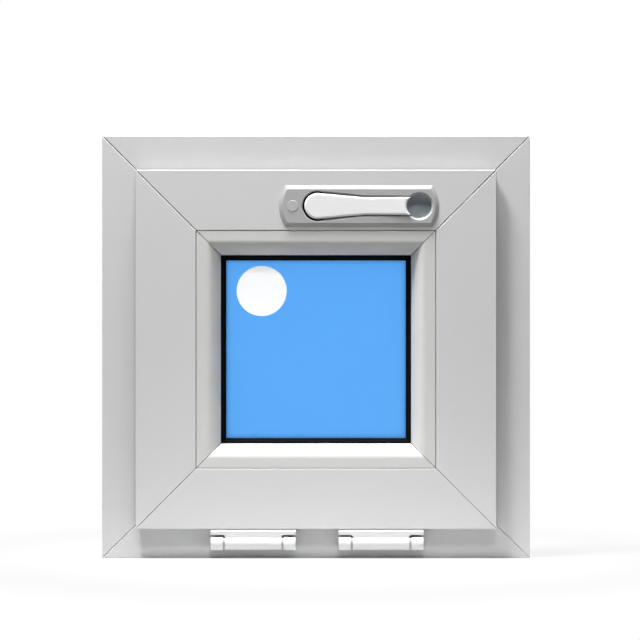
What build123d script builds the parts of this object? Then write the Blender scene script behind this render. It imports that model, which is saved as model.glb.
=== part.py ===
from build123d import *
from math import acos, atan2, cos, sin
import os

# A small bottom-hung tilt window of lacquered aluminium, seen from the room side.
# X runs to the right, Y out through the wall and Z up. The origin is on the underside of the sill,
# in the middle of the frame's width and depth. All sizes are in millimetres.

# Frame: four mitred lengths of one hollow extrusion.
frame_width = 400.0
frame_height = 395.0
frame_depth = 45.0
frame_box = 30.0  # height of the closed chambers, from the perimeter inwards
frame_lip = 8.0  # lip past the box, which the sash laps over in the room
frame_leg = 22.0  # stop leg past the box, on the outdoor side
frame_web_y = 9.0  # where the web between the two chambers stands
wall = 1.5  # wall of every extrusion
arris_radius = 0.6  # rounded edge of the extrusions
mitre_gap = 0.2
mitre_bevel = 0.7  # deburred edge along a mitre

# Sash: four mitred lengths of a second extrusion, proud of the frame in the room.
margin_side = 31.9  # frame left in sight beside the sash
margin_top = 32.5
margin_bottom = 28.1
sash_gap = 5.5  # from the frame's room face to the back of the sash's flange
flange_reach = 15.0  # how far the flange stands past the sash's box
sash_face = 56.2  # from the sash's edge to the glazing bead
upstand = 22.8  # outdoor leg that the glass bears against
stop_gap = 3.0  # from the sash's outdoor face to the stop leg
chamber_web_y = -10.0

# Grooves that hold the seals, the same in every extrusion.
groove_width = 5.4
groove_depth = 3.3
groove_lip = 1.2
groove_mouth = 2.8
groove_wall = 1.4

# Glazing: a sealed unit of two panes, held by snap-in beads.
pane_thickness = 4.0
cavity = 10.0
spacer_width = 8.0
spacer_setback = 1.0
edge_clearance = 5.0  # from the sash's box to the edge of the glass
seal_space = 3.0  # from a pane to the bead or the upstand
bead_width = 22.8
bead_flat = 9.3  # from the sash to where the bead's face begins to curve away
bead_gap = 0.5
bead_mitre_gap = 0.5
bead_drop = 0.3  # how far the bead lies below the sash's face
bead_depth = 12.4  # how far the face falls on its way to the glass
bead_bend_radius = 9.0
bead_bend = 42.0  # degrees that the bend turns before the slope goes on
bead_edge_radius = 0.6
bead_wall = 1.4
nib_reach = 2.2
nib_thickness = 1.6
packer_length = 50.0
packer_inset = 47.0  # from each end of the pane to the middle of a packer
packer_play = 0.3

# Seals of black rubber.
seal_fit = 0.15
seal_sight = 4.9  # width of seal in sight beside the bead
seal_nose = 2.4
seal_stem = 2.4
seal_barb = 4.4
bulb_wall = 0.8
bulb_width = 5.0

# Hinges: two three-knuckle barrel hinges on the sill.
hinge_left_inset = 141.6  # from the frame's left side to the middle of the left hinge
hinge_right_inset = 139.4
hinge_length = 79.0
hinge_axis_z = 14.7
knuckle_length = 11.3
knuckle_radius = 6.3
barrel_radius = 6.0
pin_radius = 2.5
pin_clearance = 0.1
pin_setback = 0.6
bushing_radius = 5.8
bushing_thickness = 1.8
bushing_play = 0.1
leaf_thickness = 2.5
leaf_clearance = 0.5  # between the barrel and the frame leaf
plate_thickness = 3.0
plate_foot = 8.1  # from the hinge axis up to the notches over the knuckles
notch_chamfer = 1.6
flange_thickness = 2.8
leaf_foot = 4.5  # from the hinge axis down to the foot of the frame leaf
leaf_top_gap = 3.0
leaf_step = 0.8  # how far the sash leaf's plate stays below its flange
leaf_step_depth = 1.5
leaf_edge = 1.3

# Handle: a lever that lies in a long, thin housing on the sash's top rail.
handle_inset = 160.0  # from the frame's right side to the middle of the handle
handle_drop = 33.7  # from the sash's top edge to the handle's centre line
housing_length = 149.0
housing_height = 38.3
housing_end_rise = 6.0  # how far the curved ends stand out
housing_rise = 2.2
housing_bevel = 3.5
housing_bevel_depth = 1.8
body_length = 142.0
body_height = 30.0
body_depth = 12.0
body_corner = 5.0
body_wall = 2.0
body_floor = 4.8
boss_wall = 2.5
cutout_play = 0.4
head_x = -38.7
head_radius = 12.1
neck_x = 4.0
neck_width = 16.6
neck_blend = 60.0
well_x = 56.1
well_radius = 11.4
well_rim = 1.8  # bevel round the mouth of the well
well_depth = 9.7
well_floor_edge = 5.7  # depth at which the cup's floor begins to dish
cup_ledge = 0.5  # how far the cup is wider than the well it sits behind
cup_drop = 3.2
cup_wall = 0.8
cup_fit = 0.1
tube_wall = 1.4
tube_depth = 9.0
recess_play_head = 1.8
recess_play_neck = 1.1
recess_depth = 5.0
recess_rim = 0.9
lever_thickness = 3.6
lever_proud = 0.6
lever_curl_x = 7.6  # where the lever's front begins to curl out
lever_curl = 2.1  # how far it would curl out by the middle of the well
lever_edge_radius = 2.0
lever_foot_radius = 7.0
lever_end_play = 0.2
turntable_play = 0.3
turntable_thickness = 1.2
spindle_radius = 4.0
spindle_square = 5.6
spindle_play = 0.1
spindle_length = 18.0
cap_x = -61.7
cap_radius = 5.2
cap_play = 0.1
cap_thickness = 2.0
cap_proud = 0.3
cap_edge = 0.3
screw_radius = 2.2

seat = 0.1  # paint and sealant between parts that are screwed together

# Fixings and drainage.
fixing_radius = 4.0
fixing_from_ends = 80.0  # from the frame's top and bottom to each fixing
drain_from_ends = 100.0
drain_length = 26.0
drain_height = 5.0
drain_rise = 1.0

# Places that follow from the sizes above.
room_face = -frame_depth / 2
outdoor_face = frame_depth / 2
groove_block = wall + groove_depth + groove_lip
groove_span = groove_width + 2 * groove_wall
leg_end = frame_box + frame_leg
stop_face = outdoor_face - groove_block
sash_back = stop_face - stop_gap
flange_back = room_face - sash_gap
sash_front = flange_back - groove_block
upstand_end = sash_face + upstand
upstand_face = sash_back - groove_block
unit_back = upstand_face - seal_space
unit_front = unit_back - 2 * pane_thickness - cavity
bead_back = unit_front - seal_space
bead_front = sash_front + bead_drop
nib_front = bead_back + bead_drop
seal_end = sash_face + bead_width + seal_sight
glass_inset = sash_face + edge_clearance
flange_groove_x = groove_wall + groove_width / 2
stop_groove_x = leg_end - groove_wall - groove_width / 2
upstand_groove_x = upstand_end - groove_wall - groove_width / 2
bead_groove_x = sash_face + bead_width - groove_wall - groove_width / 2

sash_left = -frame_width / 2 + margin_side
sash_right = frame_width / 2 - margin_side
sash_bottom = margin_bottom
sash_top = frame_height - margin_top


def sides_of(left, right, bottom, top):
    """The sides of an upright rectangle: each plane's x runs inwards and its y outdoors."""
    middle_x = (left + right) / 2
    middle_z = (bottom + top) / 2
    return {
        "top": (Plane((middle_x, 0, top), x_dir=(0, 0, -1), z_dir=(1, 0, 0)), right - left),
        "bottom": (Plane((middle_x, 0, bottom), x_dir=(0, 0, 1), z_dir=(-1, 0, 0)), right - left),
        "left": (Plane((left, 0, middle_z), x_dir=(1, 0, 0), z_dir=(0, 0, 1)), top - bottom),
        "right": (Plane((right, 0, middle_z), x_dir=(-1, 0, 0), z_dir=(0, 0, -1)), top - bottom),
    }


hinge_axis_y = room_face - seat - leaf_thickness - leaf_clearance - barrel_radius
barrel_half = hinge_length / 2 - knuckle_length - bushing_thickness - 2 * bushing_play
plate_front = hinge_axis_y - plate_thickness
leaf_top = sash_bottom - 2 * seat

frame_sides = sides_of(-frame_width / 2, frame_width / 2, 0, frame_height)
sash_sides = sides_of(sash_left, sash_right, sash_bottom, sash_top)


def mitred_bar(section, side, gap=0.0, bevel=0.0, shown=()):
    """A length of one extrusion, cut at 45 degrees at both ends of its side.

    The cut's edge is deburred on the faces in sight, whose places in depth are in shown.
    """
    plane, run = side
    with BuildPart() as bar:
        with BuildSketch(plane):
            add(section)
        extrude(amount=run / 2, both=True)
        for end in (plane.z_dir, -plane.z_dir):
            corner = plane.origin + end * (run / 2)
            facing = (end + plane.x_dir).normalized()
            cut = corner - facing * (gap / 2)
            split(bisect_by=Plane(cut, z_dir=facing), keep=Keep.BOTTOM)
            for depth, outwards in shown:
                edge = cut + Vector(0, depth, 0) - facing * bevel
                split(bisect_by=Plane(edge, z_dir=facing + Vector(0, outwards, 0)), keep=Keep.BOTTOM)
    return bar.part


def groove_section(centre, mouth, inwards):
    """The T-shaped groove that a seal's stem is pressed into."""
    with BuildSketch() as groove:
        with Locations((centre, mouth + inwards * groove_lip / 2)):
            Rectangle(groove_mouth, groove_lip)
        with Locations((centre, mouth + inwards * (groove_lip + groove_depth / 2))):
            Rectangle(groove_width, groove_depth)
    return groove.sketch


def frame_section():
    """Two chambers, a lip in the room and a stop leg outdoors."""
    with BuildSketch() as section:
        with BuildLine():
            Polyline(
                (0, room_face),
                (frame_box + frame_lip, room_face),
                (frame_box + frame_lip, room_face + wall),
                (frame_box, room_face + wall),
                (frame_box, outdoor_face - wall),
                (leg_end - groove_span, outdoor_face - wall),
                (leg_end - groove_span, stop_face),
                (leg_end, stop_face),
                (leg_end, outdoor_face),
                (0, outdoor_face),
                close=True,
            )
        make_face()
        corners = section.vertices().group_by(Axis.Y)
        fillet([*corners[0], *corners[-1]], arris_radius)
        room_chamber = (room_face + wall, frame_web_y - wall / 2)
        outdoor_chamber = (frame_web_y + wall / 2, outdoor_face - wall)
        for low, high in (room_chamber, outdoor_chamber):
            with Locations((frame_box / 2, (low + high) / 2)):
                RectangleRounded(frame_box - 2 * wall, high - low, arris_radius, mode=Mode.SUBTRACT)
        add(groove_section(stop_groove_x, stop_face, 1), mode=Mode.SUBTRACT)
    return section.sketch


def sash_section():
    """A two-chamber box with a flange in the room and an upstand outdoors."""
    with BuildSketch() as section:
        with BuildLine():
            Polyline(
                (0, sash_front),
                (sash_face, sash_front),
                (sash_face, nib_front),
                (sash_face + nib_reach, nib_front),
                (sash_face + nib_reach, nib_front + nib_thickness),
                (sash_face, nib_front + nib_thickness),
                (sash_face, sash_back - wall),
                (upstand_end - groove_span, sash_back - wall),
                (upstand_end - groove_span, upstand_face),
                (upstand_end, upstand_face),
                (upstand_end, sash_back),
                (flange_reach, sash_back),
                (flange_reach, flange_back),
                (0, flange_back),
                close=True,
            )
        make_face()
        corners = section.vertices().group_by(Axis.Y)
        fillet([*corners[0], *corners[-1]], arris_radius)
        chamber_side = flange_reach + wall
        with BuildLine():
            Polyline(
                (groove_span, sash_front + wall),
                (sash_face - wall, sash_front + wall),
                (sash_face - wall, chamber_web_y - wall / 2),
                (chamber_side, chamber_web_y - wall / 2),
                (chamber_side, flange_back - wall),
                (groove_span, flange_back - wall),
                close=True,
            )
        make_face(mode=Mode.SUBTRACT)
        low = chamber_web_y + wall / 2
        high = sash_back - wall
        with Locations(((chamber_side + sash_face - wall) / 2, (low + high) / 2)):
            RectangleRounded(sash_face - wall - chamber_side, high - low, arris_radius, mode=Mode.SUBTRACT)
        add(groove_section(flange_groove_x, flange_back, -1), mode=Mode.SUBTRACT)
        add(groove_section(upstand_groove_x, upstand_face, 1), mode=Mode.SUBTRACT)
    return section.sketch


def bead_section():
    """A hollow snap-in bead: a flat strip, then a bend and a slope that fall away to the glass."""
    near = sash_face + bead_gap
    far = sash_face + bead_width
    bend_start = sash_face + bead_flat
    with BuildSketch() as section:
        with BuildLine():
            bend = JernArc((bend_start, bead_front), (1, 0), bead_bend_radius, bead_bend)
            slope = TangentArc(bend @ 1, (far, bead_front + bead_depth), tangent=bend % 1)
            Polyline(slope @ 1, (far, bead_back), (near, bead_back), (near, bead_front), bend @ 0)
        make_face()
        fillet(section.vertices().group_by(Axis.Y)[0].sort_by(Axis.X)[0], bead_edge_radius)
        chamber_far = far - groove_span
        with BuildLine():
            Polyline(
                (near + bead_wall, bead_front + bead_wall),
                (bend_start, bead_front + bead_wall),
                (chamber_far, bead_front + 3 * bead_wall),
                (chamber_far, bead_back - bead_wall),
                (near + bead_wall, bead_back - bead_wall),
                close=True,
            )
        make_face(mode=Mode.SUBTRACT)
        add(groove_section(bead_groove_x, bead_back, -1), mode=Mode.SUBTRACT)
    return section.sketch


def stem_section(centre, seat, inwards):
    """The barbed stem of a seal, in its groove."""
    with BuildSketch() as stem:
        reach = groove_lip + groove_depth * 0.75
        with BuildLine():
            Polyline(
                (centre - seal_stem / 2, seat - inwards * seal_fit),
                (centre + seal_stem / 2, seat - inwards * seal_fit),
                (centre + seal_stem / 2, seat + inwards * (groove_lip + 2 * seal_fit)),
                (centre + seal_barb / 2, seat + inwards * (groove_lip + 2 * seal_fit)),
                (centre + seal_stem / 4, seat + inwards * reach),
                (centre - seal_stem / 4, seat + inwards * reach),
                (centre - seal_barb / 2, seat + inwards * (groove_lip + 2 * seal_fit)),
                (centre - seal_stem / 2, seat + inwards * (groove_lip + 2 * seal_fit)),
                close=True,
            )
        make_face()
    return stem.sketch


def glazing_seal_section(centre, seat, outwards):
    """A wedge between a pane and its seat, with a nose that shows beside the bead."""
    sight_start = sash_face + bead_width + seal_fit
    low = seat + outwards * seal_fit
    high = seat + outwards * (seal_space - seal_fit)
    with BuildSketch() as section:
        with BuildLine():
            Polyline(
                (centre - groove_width / 2, low),
                (sight_start, low),
                (sight_start, seat - outwards * seal_nose),
                (sight_start + seal_sight / 4, seat - outwards * seal_nose),
                (seal_end, high - outwards * seal_fit * 3),
                (seal_end, high),
                (centre - groove_width / 2, high),
                close=True,
            )
        make_face()
        add(stem_section(centre, seat + outwards * seal_fit * 2, -outwards))
    return section.sketch


def bulb_seal_section(centre, seat, outwards, space):
    """A hollow bulb on a stem, which closes the space in front of its groove."""
    height = space - 2 * seal_fit
    with BuildSketch() as section:
        with Locations((centre, seat + outwards * space / 2)):
            RectangleRounded(bulb_width, height, height / 2 - bulb_wall / 4)
            RectangleRounded(
                bulb_width - 2 * bulb_wall,
                height - 2 * bulb_wall,
                height / 2 - bulb_wall * 1.25,
                mode=Mode.SUBTRACT,
            )
        add(stem_section(centre, seat + outwards * seal_fit * 2, -outwards))
    return section.sketch


def seal_ring(section, sides):
    """One endless strip of seal, turned at the four corners."""
    with BuildPart() as ring:
        for side in sides.values():
            add(mitred_bar(section, side))
    return ring.part


pieces = []

# The frame: head, sill and two jambs.
frame_names = {
    "top": "frame_head",
    "bottom": "frame_sill",
    "left": "frame_jamb_left",
    "right": "frame_jamb_right",
}
for place, name in frame_names.items():
    with BuildPart() as frame_bar:
        ends = ((room_face, -1), (outdoor_face, 1))
        add(mitred_bar(frame_section(), frame_sides[place], mitre_gap, mitre_bevel, ends))
        if place in ("left", "right"):
            plane, run = frame_sides[place]
            for height in (fixing_from_ends, run - fixing_from_ends):
                with BuildSketch(Plane((plane.origin.X, 0, height), z_dir=plane.x_dir)):
                    Circle(fixing_radius)
                extrude(amount=frame_box, mode=Mode.SUBTRACT)
        if place == "bottom":
            drain_x = frame_width / 2 - drain_from_ends
            drain_z = frame_box + drain_rise + drain_height / 2
            with BuildSketch(Plane.XZ.offset(-outdoor_face)):
                with Locations((-drain_x, drain_z), (drain_x, drain_z)):
                    SlotOverall(drain_length, drain_height)
            extrude(amount=2 * wall, both=True, mode=Mode.SUBTRACT)
    frame_bar.part.label = name
    pieces.append(frame_bar.part)

# The sash: two rails and two stiles. The top rail is cut out for the handle's body.
handle_x = frame_width / 2 - handle_inset
handle_plane = Plane((handle_x, sash_front, sash_top - handle_drop), x_dir=(1, 0, 0), z_dir=(0, -1, 0))
sash_names = {
    "top": "sash_rail_top",
    "bottom": "sash_rail_bottom",
    "left": "sash_stile_left",
    "right": "sash_stile_right",
}
for place, name in sash_names.items():
    with BuildPart() as sash_bar:
        ends = ((sash_front, -1), (sash_back, 1))
        add(mitred_bar(sash_section(), sash_sides[place], mitre_gap, mitre_bevel, ends))
        if place == "top":
            with BuildSketch(handle_plane):
                RectangleRounded(body_length + 2 * cutout_play, body_height + 2 * cutout_play, body_corner)
            extrude(amount=2 * wall, both=True, mode=Mode.SUBTRACT)
    sash_bar.part.label = name
    pieces.append(sash_bar.part)

# The four glazing beads.
for place in sash_sides:
    bead = mitred_bar(bead_section(), sash_sides[place], bead_mitre_gap, mitre_bevel / 2, ((bead_front, -1),))
    bead.label = "bead_" + place
    pieces.append(bead)

# The seals, each one endless ring.
seals = {
    "glazing_seal_room": (glazing_seal_section(bead_groove_x, bead_back, 1), sash_sides),
    "glazing_seal_outdoor": (glazing_seal_section(upstand_groove_x, upstand_face, -1), sash_sides),
    "sash_seal_room": (bulb_seal_section(flange_groove_x, flange_back, 1, sash_gap), sash_sides),
    "sash_seal_outdoor": (bulb_seal_section(stop_groove_x, stop_face, -1, stop_gap), frame_sides),
}
for name, (section, sides) in seals.items():
    ring = seal_ring(section, sides)
    ring.label = name
    pieces.append(ring)

# The sealed unit: two panes, the spacer between them and two packers under it.
glass_width = sash_right - sash_left - 2 * glass_inset
glass_height = sash_top - sash_bottom - 2 * glass_inset
glass_middle = (sash_top + sash_bottom) / 2
for name, front in (("pane_room", unit_front), ("pane_outdoor", unit_back - pane_thickness)):
    with BuildPart() as pane:
        with BuildSketch(Plane((0, front, glass_middle), x_dir=(1, 0, 0), z_dir=(0, 1, 0))):
            Rectangle(glass_width, glass_height)
        extrude(amount=pane_thickness)
        chamfer(pane.edges(), 0.3)
    pane.part.label = name
    pieces.append(pane.part)

with BuildPart() as spacer:
    spacer_front = unit_front + pane_thickness + seat
    with BuildSketch(Plane((0, spacer_front, glass_middle), x_dir=(1, 0, 0), z_dir=(0, 1, 0))):
        Rectangle(glass_width - 2 * spacer_setback, glass_height - 2 * spacer_setback)
        inner = 2 * (spacer_setback + spacer_width)
        Rectangle(glass_width - inner, glass_height - inner, mode=Mode.SUBTRACT)
    extrude(amount=cavity - 2 * seat)
spacer.part.label = "spacer_bar"
pieces.append(spacer.part)

packer_x = glass_width / 2 - packer_inset
for name, x in (("packer_left", -packer_x), ("packer_right", packer_x)):
    with BuildPart() as packer:
        packer_z = sash_bottom + sash_face + edge_clearance / 2
        with Locations((x, (unit_front + unit_back) / 2, packer_z)):
            Box(packer_length, unit_back - unit_front - 2 * packer_play, edge_clearance - 2 * packer_play)
        chamfer(packer.edges().filter_by(Axis.Z), 1)
    packer.part.label = name
    pieces.append(packer.part)

# The two hinges: knuckles on the frame leaf, the barrel on the sash leaf, a pin and two washers.
hinges = (("left", hinge_left_inset - frame_width / 2), ("right", frame_width / 2 - hinge_right_inset))
for side, middle in hinges:
    first_end = Plane.YZ.offset(middle - hinge_length / 2)
    with BuildPart() as frame_leaf:
        plate_low = hinge_axis_z - leaf_foot
        plate_high = sash_bottom - leaf_top_gap
        with BuildSketch(first_end):
            with Locations((room_face - seat - leaf_thickness / 2, (plate_low + plate_high) / 2)):
                Rectangle(leaf_thickness, plate_high - plate_low)
        extrude(amount=hinge_length)
        for offset in (-hinge_length / 2, hinge_length / 2 - knuckle_length):
            with BuildSketch(Plane.YZ.offset(middle + offset)):
                with Locations((hinge_axis_y, hinge_axis_z)):
                    Circle(knuckle_radius)
                with Locations(((hinge_axis_y + room_face - seat) / 2, hinge_axis_z)):
                    Rectangle(room_face - seat - hinge_axis_y, 2 * leaf_foot)
            extrude(amount=knuckle_length)
        with BuildSketch(first_end):
            with Locations((hinge_axis_y, hinge_axis_z)):
                Circle(pin_radius + pin_clearance)
        extrude(amount=hinge_length, mode=Mode.SUBTRACT)
        rims = frame_leaf.edges().filter_by(GeomType.CIRCLE).filter_by(
            lambda edge: abs(edge.radius - knuckle_radius) < 0.01
        )
        chamfer(rims, 0.5)
    frame_leaf.part.label = f"hinge_{side}_frame_leaf"
    pieces.append(frame_leaf.part)

    with BuildPart() as sash_leaf:
        notch_z = hinge_axis_z + plate_foot
        half = hinge_length / 2
        plate_top = leaf_top - leaf_step
        with BuildSketch(Plane.XZ.offset(-plate_front - plate_thickness)):
            with BuildLine():
                Polyline(
                    (middle - half, plate_top),
                    (middle + half, plate_top),
                    (middle + half, notch_z),
                    (middle + barrel_half + notch_chamfer, notch_z),
                    (middle + barrel_half, notch_z - notch_chamfer),
                    (middle + barrel_half, hinge_axis_z),
                    (middle - barrel_half, hinge_axis_z),
                    (middle - barrel_half, notch_z - notch_chamfer),
                    (middle - barrel_half - notch_chamfer, notch_z),
                    (middle - half, notch_z),
                    close=True,
                )
            make_face()
        extrude(amount=plate_thickness)
        chamfer(sash_leaf.edges().group_by(Axis.Z)[-1].sort_by(Axis.Y)[0], leaf_edge)
        with BuildSketch(first_end):
            flange_front = plate_front + leaf_step_depth
            flange_end = flange_back - 2 * seat
            with Locations(((flange_front + flange_end) / 2, leaf_top - flange_thickness / 2)):
                Rectangle(flange_end - flange_front, flange_thickness)
        extrude(amount=hinge_length)
        with BuildSketch(Plane.YZ.offset(middle - barrel_half)):
            with Locations((hinge_axis_y, hinge_axis_z)):
                Circle(barrel_radius)
        extrude(amount=2 * barrel_half)
        with BuildSketch(first_end):
            with Locations((hinge_axis_y, hinge_axis_z)):
                Circle(pin_radius + pin_clearance)
        extrude(amount=hinge_length, mode=Mode.SUBTRACT)
    sash_leaf.part.label = f"hinge_{side}_sash_leaf"
    pieces.append(sash_leaf.part)

    with BuildPart() as pin:
        with BuildSketch(Plane.YZ.offset(middle - half + pin_setback)):
            with Locations((hinge_axis_y, hinge_axis_z)):
                Circle(pin_radius)
        extrude(amount=hinge_length - 2 * pin_setback)
        chamfer(pin.edges().filter_by(GeomType.CIRCLE), 0.4)
    pin.part.label = f"hinge_{side}_pin"
    pieces.append(pin.part)

    beside_barrel = barrel_half + bushing_play
    for end, start in (("left", -beside_barrel - bushing_thickness), ("right", beside_barrel)):
        with BuildPart() as washer:
            with BuildSketch(Plane.YZ.offset(middle + start)):
                with Locations((hinge_axis_y, hinge_axis_z)):
                    Circle(bushing_radius)
                    Circle(pin_radius + pin_clearance, mode=Mode.SUBTRACT)
            extrude(amount=bushing_thickness)
        washer.part.label = f"hinge_{side}_washer_{end}"
        pieces.append(washer.part)


# The handle, drawn on the sash's face: x to the right, y up and z into the room.
def lever_outline(radius, half_width, end_x):
    """A round head that narrows to a straight neck, which ends at end_x."""
    reach = Vector(neck_x - head_x, half_width)
    lean = atan2(reach.Y, reach.X) + acos(radius / reach.length)
    touch = (head_x + radius * cos(lean), radius * sin(lean))
    with BuildSketch() as outline:
        with BuildLine():
            Polyline(
                touch,
                (neck_x, half_width),
                (end_x, half_width),
                (end_x, -half_width),
                (neck_x, -half_width),
                (touch[0], -touch[1]),
            )
            ThreePointArc((touch[0], -touch[1]), (head_x - radius, 0), touch)
        make_face()
        bends = outline.vertices().filter_by_position(Axis.X, neck_x - 0.01, neck_x + 0.01)
        fillet(bends, neck_blend)
    return outline.sketch


well_axis = Axis(handle_plane.from_local_coords((well_x, 0, 0)), (0, 1, 0))
cup_radius = well_radius + cup_ledge
room_side = housing_rise + 1  # tall enough for a cut to pass out of the plate
from_above = Plane(handle_plane.origin, x_dir=(1, 0, 0), z_dir=(0, 0, 1))

with BuildPart() as housing:
    with BuildSketch(handle_plane.offset(seat)):
        straight = housing_length / 2 - housing_end_rise
        half = housing_height / 2
        with BuildLine():
            Line((-straight, -half), (straight, -half))
            ThreePointArc((straight, -half), (housing_length / 2, 0), (straight, half))
            Line((straight, half), (-straight, half))
            ThreePointArc((-straight, half), (-housing_length / 2, 0), (-straight, -half))
        make_face()
    extrude(amount=housing_rise - seat)
    plate_face = housing.faces().sort_by(Axis.Y)[0]
    chamfer(plate_face.edges(), housing_bevel, housing_bevel_depth, reference=plate_face)
    # The body behind the plate is a shell, open at the back, with a boss and a tube in it.
    with BuildSketch(handle_plane.offset(seat)):
        RectangleRounded(body_length, body_height, body_corner)
    extrude(amount=-seat - body_depth)
    with BuildSketch(handle_plane.offset(-body_floor)):
        RectangleRounded(body_length - 2 * body_wall, body_height - 2 * body_wall, body_corner - body_wall)
    extrude(amount=-body_depth, mode=Mode.SUBTRACT)
    with BuildSketch(handle_plane.offset(-body_floor)):
        with Locations((head_x, 0)):
            Circle(spindle_radius + boss_wall)
        with Locations((cap_x, 0)):
            Circle(screw_radius + boss_wall)
    extrude(amount=body_floor - body_depth)
    with BuildSketch(handle_plane.offset(-body_floor)):
        with Locations((well_x, 0)):
            Circle(cup_radius + cup_fit + tube_wall)
    extrude(amount=body_floor - tube_depth)
    # The lever's recess, the finger well, the spindle's hole and the screw's seat.
    recess = lever_outline(head_radius + recess_play_head, neck_width / 2 + recess_play_neck, well_x)
    with BuildSketch(handle_plane.offset(housing_rise - recess_depth)):
        add(recess)
    extrude(amount=recess_depth, mode=Mode.SUBTRACT)
    with BuildSketch(handle_plane.offset(housing_rise - recess_rim)):
        add(recess)
    extrude(amount=recess_rim, taper=-45, mode=Mode.SUBTRACT)
    with BuildSketch(handle_plane.offset(-cup_drop)):
        with Locations((well_x, 0)):
            Circle(well_radius)
    extrude(amount=room_side + cup_drop, mode=Mode.SUBTRACT)
    with BuildSketch(handle_plane.offset(housing_rise - well_rim)):
        with Locations((well_x, 0)):
            Circle(well_radius)
    extrude(amount=well_rim, taper=-45, mode=Mode.SUBTRACT)
    with BuildSketch(handle_plane.offset(-cup_drop)):
        with Locations((well_x, 0)):
            Circle(cup_radius + cup_fit)
    extrude(amount=-body_depth, mode=Mode.SUBTRACT)
    with BuildSketch(handle_plane.offset(room_side)):
        with Locations((head_x, 0)):
            Circle(spindle_radius + spindle_play)
        with Locations((cap_x, 0)):
            Circle(screw_radius)
    extrude(amount=-room_side - body_depth - 1, mode=Mode.SUBTRACT)
    with BuildSketch(handle_plane.offset(housing_rise - cap_thickness + cap_proud - cap_play)):
        with Locations((cap_x, 0)):
            Circle(cap_radius + cap_play)
    extrude(amount=room_side, mode=Mode.SUBTRACT)
housing.part.label = "handle_housing"
pieces.append(housing.part)

with BuildPart() as cup:
    with BuildSketch(Plane(well_axis.position, x_dir=(1, 0, 0), z_dir=(0, 0, 1))):
        edge = well_floor_edge - housing_rise
        deepest = well_depth - housing_rise
        inside = cup_radius - cup_wall
        with BuildLine():
            Polyline(
                (0, deepest),
                (0, deepest + cup_wall),
                (cup_radius, deepest + cup_wall),
                (cup_radius, cup_drop + seat),
                (inside, cup_drop + seat),
                (inside, edge),
            )
            TangentArc((0, deepest), (inside, edge), tangent=(1, 0))
        make_face()
    revolve(axis=well_axis)
cup.part.label = "handle_finger_cup"
pieces.append(cup.part)

turntable_back = housing_rise - recess_depth + seat
with BuildPart() as turntable:
    with BuildSketch(handle_plane.offset(turntable_back)):
        with Locations((head_x, 0)):
            Circle(head_radius + recess_play_head - turntable_play)
    extrude(amount=turntable_thickness)
    with BuildSketch(handle_plane.offset(turntable_back)):
        with Locations((head_x, 0)):
            Circle(spindle_radius)
    extrude(amount=-body_depth - turntable_back)
    with BuildSketch(handle_plane.offset(-body_depth + seat)):
        with Locations((head_x, 0)):
            Rectangle(spindle_square, spindle_square)
    extrude(amount=body_depth - spindle_length)
turntable.part.label = "handle_turntable"
pieces.append(turntable.part)

with BuildPart() as lever:
    lever_front = housing_rise + lever_proud
    lever_back = lever_front - lever_thickness
    with BuildSketch(handle_plane.offset(lever_back)):
        add(lever_outline(head_radius, neck_width / 2, well_x - well_radius / 2))
        with Locations((well_x, 0)):
            Circle(well_radius + lever_end_play, mode=Mode.SUBTRACT)
    extrude(amount=lever_thickness + lever_curl)
    # From the side the front runs level along the head and curls out towards the finger well.
    with BuildSketch(from_above):
        head_end = head_x - head_radius
        with BuildLine():
            level = Line((head_end, -lever_front), (lever_curl_x, -lever_front))
            curl = TangentArc(level @ 1, (well_x, -lever_front - lever_curl), tangent=(1, 0))
            Polyline(curl @ 1, (well_x, -lever_back), (head_end, -lever_back), level @ 0)
        make_face()
    extrude(amount=head_radius, both=True, mode=Mode.INTERSECT)
    front_edges = lever.faces().sort_by(Axis.Y)[:2].edges()
    fillet(front_edges.filter_by(Axis.Z, reverse=True), lever_edge_radius)
    foot = turntable_back + turntable_thickness + seat
    with BuildSketch(handle_plane.offset(foot)):
        with Locations((head_x, 0)):
            Circle(lever_foot_radius)
    extrude(amount=lever_back - foot)
lever.part.label = "handle_lever"
pieces.append(lever.part)

with BuildPart() as cap:
    with BuildSketch(handle_plane.offset(housing_rise + cap_proud)):
        with Locations((cap_x, 0)):
            Circle(cap_radius)
    extrude(amount=-cap_thickness)
    chamfer(cap.edges().group_by(Axis.Y)[0], cap_edge)
cap.part.label = "handle_screw_cap"
pieces.append(cap.part)

os.makedirs("parts", exist_ok=True)
for piece in pieces:
    print(piece.label, round(piece.volume), piece.is_valid, len(piece.solids()))
    export_step(piece, f"parts/{piece.label}.step")
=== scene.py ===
import math

import bmesh
import bpy
from mathutils import Matrix, Vector


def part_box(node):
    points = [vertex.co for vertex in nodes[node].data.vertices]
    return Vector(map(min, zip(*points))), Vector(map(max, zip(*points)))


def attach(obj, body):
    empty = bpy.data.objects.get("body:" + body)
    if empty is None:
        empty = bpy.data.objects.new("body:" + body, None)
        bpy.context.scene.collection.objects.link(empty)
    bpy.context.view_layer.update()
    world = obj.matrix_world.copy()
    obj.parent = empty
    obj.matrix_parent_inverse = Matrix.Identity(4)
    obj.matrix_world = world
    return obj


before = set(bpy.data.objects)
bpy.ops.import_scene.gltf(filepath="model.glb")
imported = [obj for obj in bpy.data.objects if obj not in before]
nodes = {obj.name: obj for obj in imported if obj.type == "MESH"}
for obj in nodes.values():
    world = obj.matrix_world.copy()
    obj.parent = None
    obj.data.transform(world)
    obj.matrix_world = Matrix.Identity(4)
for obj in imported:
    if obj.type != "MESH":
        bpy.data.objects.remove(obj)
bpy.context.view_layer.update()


# The outer frame: head, sill and two jambs of one hollow aluminium extrusion, mitred at the corners.
# It is powder coated in a satin light grey, whose skin has the faint ripple of a sprayed coat.
cloud_scale = 9.0
peel_scale = 700.0
peel_height = 0.00004
gloss_swing = 0.12


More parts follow.
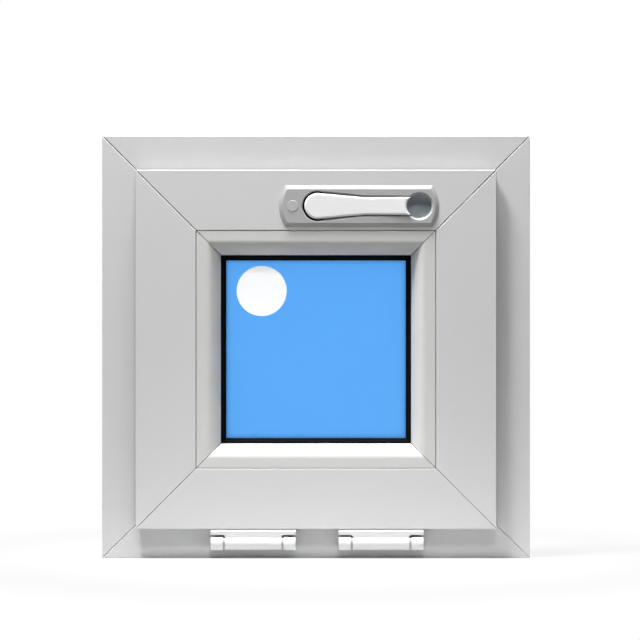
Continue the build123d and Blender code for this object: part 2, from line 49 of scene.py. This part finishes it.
def coat_skin_group():
    """The ripple of a sprayed coat, with a slow drift in its tone and gloss."""
    tree = bpy.data.node_groups.new("coat_skin", "ShaderNodeTree")
    socket = tree.interface.new_socket
    for name, kind, value in (
        ("Colour", "NodeSocketColor", (0.6, 0.6, 0.6, 1)),
        ("Gloss", "NodeSocketFloat", 0.4),
        ("Drift", "NodeSocketFloat", 0.03),
        ("Ripple", "NodeSocketFloat", 0.1),
    ):
        socket(name=name, in_out="INPUT", socket_type=kind).default_value = value
    for name, kind in (
        ("Colour", "NodeSocketColor"),
        ("Roughness", "NodeSocketFloat"),
        ("Normal", "NodeSocketVector"),
    ):
        socket(name=name, in_out="OUTPUT", socket_type=kind)
    new = tree.nodes.new
    link = tree.links.new
    given = new("NodeGroupInput")
    put_out = new("NodeGroupOutput")
    place = new("ShaderNodeTexCoord")

    cloud = new("ShaderNodeTexNoise")
    cloud.inputs["Scale"].default_value = cloud_scale
    cloud.inputs["Detail"].default_value = 3.0
    link(place.outputs["Object"], cloud.inputs["Vector"])
    centred = new("ShaderNodeMath")
    centred.operation = "SUBTRACT"
    centred.inputs[1].default_value = 0.5
    link(cloud.outputs["Fac"], centred.inputs[0])
    swing = new("ShaderNodeMath")
    swing.operation = "MULTIPLY_ADD"
    swing.inputs[2].default_value = 1.0
    link(centred.outputs[0], swing.inputs[0])
    link(given.outputs["Drift"], swing.inputs[1])
    tone = new("ShaderNodeVectorMath")
    tone.operation = "SCALE"
    link(given.outputs["Colour"], tone.inputs[0])
    link(swing.outputs[0], tone.inputs["Scale"])
    link(tone.outputs[0], put_out.inputs["Colour"])

    rough = new("ShaderNodeMath")
    rough.operation = "MULTIPLY_ADD"
    rough.inputs[1].default_value = gloss_swing
    link(centred.outputs[0], rough.inputs[0])
    link(given.outputs["Gloss"], rough.inputs[2])
    link(rough.outputs[0], put_out.inputs["Roughness"])

    peel = new("ShaderNodeTexNoise")
    peel.inputs["Scale"].default_value = peel_scale
    peel.inputs["Detail"].default_value = 2.0
    link(place.outputs["Object"], peel.inputs["Vector"])
    bump = new("ShaderNodeBump")
    bump.inputs["Distance"].default_value = peel_height
    link(given.outputs["Ripple"], bump.inputs["Strength"])
    link(peel.outputs["Fac"], bump.inputs["Height"])
    link(bump.outputs["Normal"], put_out.inputs["Normal"])
    return tree


coat_skin = coat_skin_group()


def coated(name, colour, gloss, drift=0.03, ripple=0.25, metallic=0.0, specular=0.5):
    """A sprayed or moulded finish with the ripple of its skin."""
    material = bpy.data.materials.new(name)
    material.use_nodes = True
    tree = material.node_tree
    shader = tree.nodes["Principled BSDF"]
    shader.inputs["Metallic"].default_value = metallic
    shader.inputs["Specular IOR Level"].default_value = specular
    skin = tree.nodes.new("ShaderNodeGroup")
    skin.node_tree = coat_skin
    skin.inputs["Colour"].default_value = (*colour, 1)
    skin.inputs["Gloss"].default_value = gloss
    skin.inputs["Drift"].default_value = drift
    skin.inputs["Ripple"].default_value = ripple
    tree.links.new(skin.outputs["Colour"], shader.inputs["Base Color"])
    tree.links.new(skin.outputs["Roughness"], shader.inputs["Roughness"])
    tree.links.new(skin.outputs["Normal"], shader.inputs["Normal"])
    return material


def finish_nodes(names, material):
    """Gives CAD nodes their finish."""
    for name in names:
        for slot in nodes[name].material_slots:
            slot.material = material


frame_coat = coated("frame_coat", (0.56, 0.56, 0.565), 0.42)
finish_nodes(["frame_head", "frame_sill", "frame_jamb_left", "frame_jamb_right"], frame_coat)


# The sash: two rails and two stiles of a second extrusion, mitred, standing proud of the frame.
# It is coated with the frame, and its wide flat face carries the handle on the top rail.
sash_coat = coated("sash_coat", (0.57, 0.57, 0.573), 0.42)
finish_nodes(["sash_rail_top", "sash_rail_bottom", "sash_stile_left", "sash_stile_right"], sash_coat)


# The glazing beads: four mitred lengths that snap in against the glass.
# Their coat is the sash's, a trace warmer because it is another batch.
bead_coat = coated("bead_coat", (0.57, 0.57, 0.552), 0.40)
finish_nodes(["bead_top", "bead_bottom", "bead_left", "bead_right"], bead_coat)


# The seals: black rubber rings pressed into the grooves of the frame, the sash and the beads.
# Rubber is dull, with a fine grain from the extruder.
rubber = coated("seal_rubber", (0.004, 0.004, 0.0045), 0.85, drift=0.3, ripple=0.5, specular=0.03)
finish_nodes(["glazing_seal_room", "glazing_seal_outdoor", "sash_seal_room", "sash_seal_outdoor"], rubber)


# The sealed unit: two frosted blue panes with a spacer bar between them, on two plastic packers.
# The panes are acid etched and show nothing behind them. A faint painted glow, an emission on the glass,
# stands in for the daylight outdoors and keeps the blue even.
glass_colour = (0.275, 0.60, 0.91)
painted_glow_colour = (0.12, 0.40, 0.80)
painted_glow = 0.07


def frosted_glass():
    """Etched glass: a fine satin grain over a colour that the light passes through, with a faint painted
    glow.
    """
    material = bpy.data.materials.new("frosted_glass")
    material.use_nodes = True
    tree = material.node_tree
    shader = tree.nodes["Principled BSDF"]
    shader.inputs["Transmission Weight"].default_value = 1.0
    shader.inputs["IOR"].default_value = 1.5
    # painted light: the glass glows a little blue though it is no lamp
    shader.inputs["Emission Color"].default_value = (*painted_glow_colour, 1)
    shader.inputs["Emission Strength"].default_value = painted_glow
    skin = tree.nodes.new("ShaderNodeGroup")
    skin.node_tree = coat_skin
    skin.inputs["Colour"].default_value = (*glass_colour, 1)
    skin.inputs["Gloss"].default_value = 0.45
    skin.inputs["Drift"].default_value = 0.01
    skin.inputs["Ripple"].default_value = 0.1
    tree.links.new(skin.outputs["Colour"], shader.inputs["Base Color"])
    tree.links.new(skin.outputs["Roughness"], shader.inputs["Roughness"])
    tree.links.new(skin.outputs["Normal"], shader.inputs["Normal"])
    return material


finish_nodes(["pane_room", "pane_outdoor"], frosted_glass())
finish_nodes(["spacer_bar"], coated("spacer_metal", (0.5, 0.5, 0.5), 0.35, metallic=0.9))
finish_nodes(["packer_left", "packer_right"], coated("packer_plastic", (0.05, 0.05, 0.05), 0.5))


# The label: a round white vinyl sticker on the room side of the glass, near its upper left corner, left bare.
# Its rim is rounded, and it glows with painted light, an emission that keeps it white where the bead shades
# it.
label_radius = 0.0235
label_thickness = 0.00025
label_glue = 0.00002
label_sides = 96
label_centre = Vector((-0.051, 0, 0.250))
label_colour = (0.93, 0.94, 0.95)
label_painted_glow = 0.52


def label_disc():
    """A thin disc with a rounded rim, flat on the pane's room face."""
    mesh = bmesh.new()
    pane_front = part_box("pane_room")[0].y
    edge = label_thickness * 0.5
    rings = []
    for radius, depth in (
        (label_radius, label_glue),
        (label_radius, edge),
        (label_radius - edge, label_thickness),
    ):
        ring = []
        for step in range(label_sides):
            turn = 2 * math.pi * step / label_sides
            ring.append(
                mesh.verts.new(
                    (
                        label_centre.x + radius * math.cos(turn),
                        pane_front - depth,
                        label_centre.z + radius * math.sin(turn),
                    )
                )
            )
        rings.append(ring)
    for inner, outer in zip(rings, rings[1:]):
        for step in range(label_sides):
            after = (step + 1) % label_sides
            mesh.faces.new((inner[step], inner[after], outer[after], outer[step]))
    mesh.faces.new(rings[-1])
    mesh.faces.new(list(reversed(rings[0])))
    bmesh.ops.recalc_face_normals(mesh, faces=mesh.faces)
    data = bpy.data.meshes.new("glass_label")
    mesh.to_mesh(data)
    mesh.free()
    piece = bpy.data.objects.new("glass_label", data)
    bpy.context.scene.collection.objects.link(piece)
    vinyl = coated("label_vinyl", label_colour, 0.35, ripple=0.1)
    shader = vinyl.node_tree.nodes["Principled BSDF"]
    # painted light: the label glows white though it is no lamp
    shader.inputs["Emission Color"].default_value = (*label_colour, 1)
    shader.inputs["Emission Strength"].default_value = label_painted_glow
    piece.data.materials.append(vinyl)
    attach(piece, "root")


label_disc()


# The hinges: two three-knuckle barrel hinges of coated aluminium between sill and sash.
# The frame leaf has the outer knuckles, the sash leaf the long barrel, with nylon washers between.
hinge_coat = coated("hinge_coat", (0.62, 0.62, 0.62), 0.38)
pin_steel = coated("pin_steel", (0.55, 0.55, 0.56), 0.3, metallic=1.0)
washer_nylon = coated("washer_nylon", (0.30, 0.30, 0.30), 0.5)
for side in ("left", "right"):
    finish_nodes([f"hinge_{side}_frame_leaf", f"hinge_{side}_sash_leaf"], hinge_coat)
    finish_nodes([f"hinge_{side}_pin"], pin_steel)
    finish_nodes([f"hinge_{side}_washer_left", f"hinge_{side}_washer_right"], washer_nylon)


# The handle: a die-cast housing, a lever folded into it that curls out at its tip, and a moulded finger cup.
# The housing is coated grey and the lever white. The turntable under the lever's head is painted near black
# with almost no sheen, painted shade that makes the gap around the lever's head read as deep shadow.
finish_nodes(["handle_housing"], coated("housing_coat", (0.37, 0.37, 0.373), 0.38))
finish_nodes(["handle_lever"], coated("lever_coat", (0.80, 0.80, 0.80), 0.32))
finish_nodes(["handle_finger_cup"], coated("cup_plastic", (0.37, 0.41, 0.435), 0.6, specular=0.05))
# painted shade: the near-black turntable darkens the gap around the lever's head
finish_nodes(["handle_turntable"], coated("turntable_plastic", (0.006, 0.006, 0.006), 0.7, specular=0.05))
finish_nodes(["handle_screw_cap"], coated("cap_plastic", (0.42, 0.42, 0.42), 0.45))


# The studio: a white floor that keeps the window's soft shadow, and an even white surround.
# A steep key lamp stands above and to the left, as in the photograph, with fill from above, the front and
# the right, and one lamp behind that shows the outdoor side.
floor_reach = 6.0
floor_seen = {"From Min": 0.22, "From Max": 0.45, "To Min": 0.8, "To Max": 1.0}
floor_grey = {"From Min": 0.15, "From Max": 0.40, "To Min": 0.54, "To Max": 0.05}


def white_floor():
    """A floor that the camera sees nearly white with the window's shadow, paler close to the window."""
    mesh = bmesh.new()
    corners = []
    for side_x, side_y in ((-1, -1), (1, -1), (1, 1), (-1, 1)):
        corners.append(mesh.verts.new((side_x * floor_reach, side_y * floor_reach, 0)))
    mesh.faces.new(corners)
    data = bpy.data.meshes.new("studio_floor")
    mesh.to_mesh(data)
    mesh.free()
    floor = bpy.data.objects.new("studio_floor", data)
    bpy.context.scene.collection.objects.link(floor)
    material = bpy.data.materials.new("studio_floor")
    material.use_nodes = True
    tree = material.node_tree
    shader = tree.nodes["Principled BSDF"]
    shader.inputs["Roughness"].default_value = 0.9
    glow = tree.nodes.new("ShaderNodeEmission")
    rays = tree.nodes.new("ShaderNodeLightPath")
    seen = tree.nodes.new("ShaderNodeMath")
    seen.operation = "MAXIMUM"
    place = tree.nodes.new("ShaderNodeTexCoord")
    away = tree.nodes.new("ShaderNodeVectorMath")
    away.operation = "LENGTH"
    fade = tree.nodes.new("ShaderNodeMapRange")
    fade.interpolation_type = "SMOOTHSTEP"
    for name, value in floor_seen.items():
        fade.inputs[name].default_value = value
    grey = tree.nodes.new("ShaderNodeMapRange")
    for name, value in floor_grey.items():
        grey.inputs[name].default_value = value
    share = tree.nodes.new("ShaderNodeMath")
    share.operation = "MULTIPLY"
    mix = tree.nodes.new("ShaderNodeMixShader")
    tree.links.new(place.outputs["Object"], away.inputs[0])
    tree.links.new(away.outputs["Value"], fade.inputs["Value"])
    tree.links.new(away.outputs["Value"], grey.inputs["Value"])
    tree.links.new(grey.outputs["Result"], shader.inputs["Base Color"])
    tree.links.new(fade.outputs["Result"], share.inputs[1])
    tree.links.new(rays.outputs["Is Camera Ray"], seen.inputs[0])
    tree.links.new(rays.outputs["Is Glossy Ray"], seen.inputs[1])
    tree.links.new(seen.outputs[0], share.inputs[0])
    tree.links.new(share.outputs[0], mix.inputs["Fac"])
    tree.links.new(shader.outputs[0], mix.inputs[1])
    tree.links.new(glow.outputs[0], mix.inputs[2])
    tree.links.new(mix.outputs[0], tree.nodes["Material Output"].inputs["Surface"])
    data.materials.append(material)


white_floor()


def white_world():
    """White to the camera, in reflections and through glass. The lamps alone light the surfaces."""
    world = bpy.data.worlds.new("studio")
    bpy.context.scene.world = world
    world.use_nodes = True
    tree = world.node_tree
    backdrop = tree.nodes["Background"]
    rays = tree.nodes.new("ShaderNodeLightPath")
    seen = tree.nodes.new("ShaderNodeMath")
    seen.operation = "MAXIMUM"
    either = tree.nodes.new("ShaderNodeMath")
    either.operation = "MAXIMUM"
    tree.links.new(rays.outputs["Is Camera Ray"], seen.inputs[0])
    tree.links.new(rays.outputs["Is Glossy Ray"], seen.inputs[1])
    tree.links.new(seen.outputs[0], either.inputs[0])
    tree.links.new(rays.outputs["Is Transmission Ray"], either.inputs[1])
    tree.links.new(either.outputs[0], backdrop.inputs["Strength"])
    backdrop.inputs["Color"].default_value = (1, 1, 1, 1)


white_world()


def soft_lamp(name, place, target, size, power):
    """A square soft box at place that faces target."""
    data = bpy.data.lights.new(name, "AREA")
    data.shape = "SQUARE"
    data.size = size
    data.energy = power
    lamp = bpy.data.objects.new(name, data)
    bpy.context.scene.collection.objects.link(lamp)
    aim = Vector(target) - Vector(place)
    lamp.matrix_world = Matrix.Translation(place) @ aim.to_track_quat("-Z", "Y").to_matrix().to_4x4()


window_middle = (0, 0, 0.2)
soft_lamp("key_lamp", (-0.50, -0.42, 2.1), window_middle, 0.4, 79)
soft_lamp("top_lamp", (0.0, -0.16, 1.9), window_middle, 0.2, 30)
soft_lamp("front_lamp", (0.1, -1.8, 2.6), window_middle, 0.3, 32)
soft_lamp("right_lamp", (1.9, -1.5, 3.0), window_middle, 1.0, 8)
soft_lamp("back_lamp", (0.8, 1.6, 2.6), window_middle, 1.0, 75)


# The camera stands straight in front of the window, as in the photograph, with a long lens.
# One pixel of the 640-pixel picture is this many metres at the frame's room face.
pixel = 0.0009354
picture_width = 640
camera_distance = 2.4
camera_x = 0.00376
camera_z = 0.22274
lens = 144
sensor = lens * picture_width * pixel / camera_distance
camera_data = bpy.data.cameras.new("camera")
camera_data.lens = lens
camera_data.sensor_width = sensor
camera = bpy.data.objects.new("camera", camera_data)
bpy.context.scene.collection.objects.link(camera)
frame_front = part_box("frame_sill")[0].y
camera_place = Matrix.Translation((camera_x, frame_front - camera_distance, camera_z))
camera.matrix_world = camera_place @ Matrix.Rotation(math.pi / 2, 4, "X")
bpy.context.scene.camera = camera
bpy.context.scene.view_settings.view_transform = "Standard"
